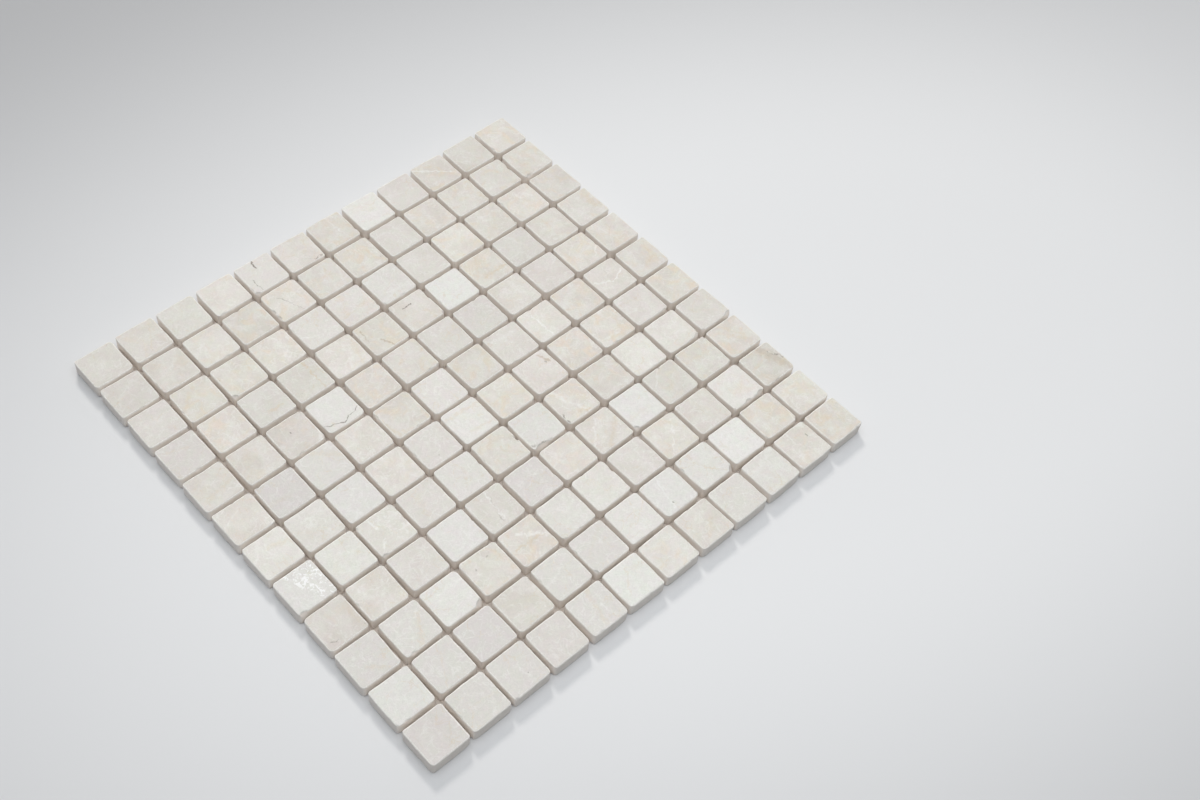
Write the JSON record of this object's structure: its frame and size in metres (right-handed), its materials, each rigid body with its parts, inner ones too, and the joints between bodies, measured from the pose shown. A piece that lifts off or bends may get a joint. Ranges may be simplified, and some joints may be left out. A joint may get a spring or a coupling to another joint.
{
  "type": "mosaic tile sheet",
  "caption": "Square sheet of small tumbled stone tiles with open joints, bonded by their backs to a glass-fibre scrim, laid on walls and floors as one piece.",
  "frame": {"origin": "middle of the sheet, on the floor that its scrim lies on", "axes": "+X along the tile rows, +Y across them, +Z out of the tiles' faces"},
  "size_m": [0.3031, 0.3034, 0.0091],
  "materials": {
    "marble": "tumbled, matt, cream",
    "scrim": "white glass-fibre strands, coated"
  },
  "bodies": {
    "root": {"tile_row_01": "marble", "tile_row_02": "marble", "tile_row_03": "marble", "tile_row_04": "marble", "tile_row_05": "marble", "tile_row_06": "marble", "tile_row_07": "marble", "tile_row_08": "marble", "tile_row_09": "marble", "tile_row_10": "marble", "tile_row_11": "marble", "tile_row_12": "marble", "scrim_warp_strands": "scrim", "scrim_weft_strands": "scrim"}
  },
  "joints": []
}
